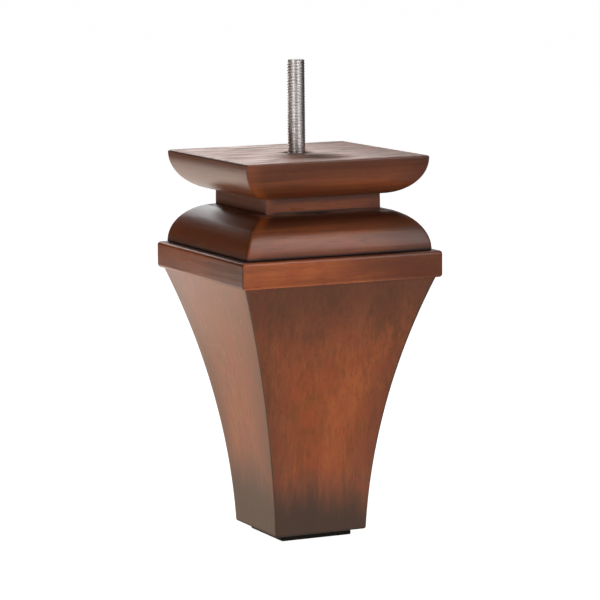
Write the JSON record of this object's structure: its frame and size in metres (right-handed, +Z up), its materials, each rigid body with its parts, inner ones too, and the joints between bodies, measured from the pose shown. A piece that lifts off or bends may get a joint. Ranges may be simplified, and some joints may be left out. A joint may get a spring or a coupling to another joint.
{
  "type": "wooden furniture foot",
  "caption": "Square stained-wood furniture foot: a hollow-flared leg under a collar and a moulded capital, with a threaded hanger bolt on top and a felt pad below.",
  "frame": {"origin": "on the floor, at the centre of the floor pad", "axes": "+Z up along the hanger bolt; +X along the dowel pair and along the grain of the collar and capital, to the right in the picture's main face, which looks along -Y"},
  "size_m": [0.098, 0.098, 0.2165],
  "materials": {
    "stained_wood": "red-brown stain rubbed darker towards the edges and the base, under a satin lacquer",
    "plated_steel": "bright zinc plating on rolled thread",
    "plain_beech": "bare, glued in",
    "dark_felt": "pressed felt, near black"
  },
  "bodies": {
    "root": {"leg_block": "stained_wood", "collar": "stained_wood", "capital": "stained_wood", "hanger_bolt": "plated_steel", "dowels": "plain_beech", "floor_pad": "dark_felt"}
  },
  "joints": []
}
